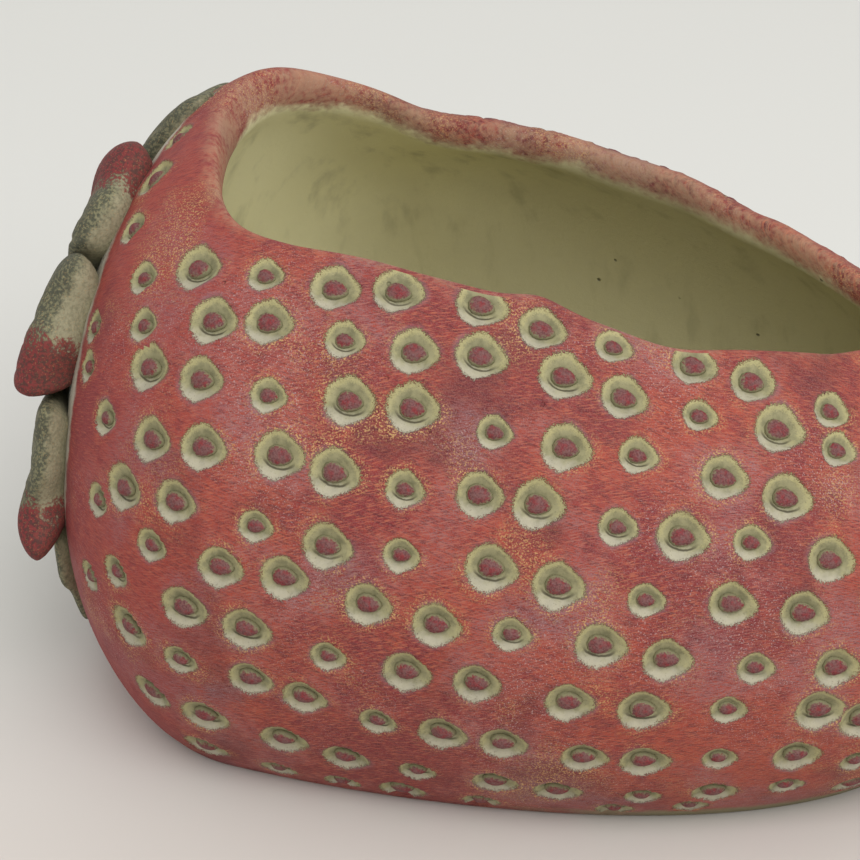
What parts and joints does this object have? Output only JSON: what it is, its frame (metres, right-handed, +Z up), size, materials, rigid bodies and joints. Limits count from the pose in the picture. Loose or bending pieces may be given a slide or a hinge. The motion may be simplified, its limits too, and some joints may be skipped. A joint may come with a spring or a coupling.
{
  "type": "flower pot",
  "caption": "Strawberry-shaped concrete planter lying on its side, with an egg-shaped mouth on top, a dimpled red skin set with seeds, and leafy sepals at its blunt end.",
  "frame": {"origin": "on the flat base, below the middle of the berry's length", "axes": "+Z up, +X from the leafy end to the tip, -Y to the side that the picture shows"},
  "size_m": [0.3767, 0.2508, 0.1959],
  "materials": {
    "red_painted_concrete": "hand-painted matte concrete, red outside and olive green inside",
    "seed_red_concrete": "dry-brushed red paint on concrete",
    "leaf_green_concrete": "grey-green and khaki paint on concrete with red touches",
    "stem_concrete": "grey-green paint on concrete"
  },
  "bodies": {
    "root": {"pot_shell": "red_painted_concrete", "seeds_far_row_01": "seed_red_concrete", "seeds_far_row_02": "seed_red_concrete", "seeds_far_row_03": "seed_red_concrete", "seeds_far_row_04": "seed_red_concrete", "seeds_far_row_05": "seed_red_concrete", "seeds_far_row_06": "seed_red_concrete", "seeds_far_row_07": "seed_red_concrete", "seeds_far_row_08": "seed_red_concrete", "seeds_far_row_09": "seed_red_concrete", "seeds_far_row_10": "seed_red_concrete", "seeds_near_row_01": "seed_red_concrete", "seeds_near_row_02": "seed_red_concrete", "seeds_near_row_03": "seed_red_concrete", "seeds_near_row_04": "seed_red_concrete", "seeds_near_row_05": "seed_red_concrete", "seeds_near_row_06": "seed_red_concrete", "seeds_near_row_07": "seed_red_concrete", "seeds_near_row_08": "seed_red_concrete", "seeds_near_row_09": "seed_red_concrete", "seeds_near_row_10": "seed_red_concrete", "seeds_shoulder": "seed_red_concrete", "seeds_tip_ring_1": "seed_red_concrete", "seeds_tip_ring_2": "seed_red_concrete", "seeds_tip_ring_3": "seed_red_concrete", "seeds_tip_ring_4": "seed_red_concrete", "seeds_tip_ring_5": "seed_red_concrete", "sepal_01": "leaf_green_concrete", "sepal_02": "leaf_green_concrete", "sepal_03": "leaf_green_concrete", "sepal_04": "leaf_green_concrete", "sepal_05": "leaf_green_concrete", "sepal_06": "leaf_green_concrete", "sepal_07": "leaf_green_concrete", "sepal_08": "leaf_green_concrete", "sepal_09": "leaf_green_concrete", "stem_stub": "stem_concrete"}
  },
  "joints": []
}
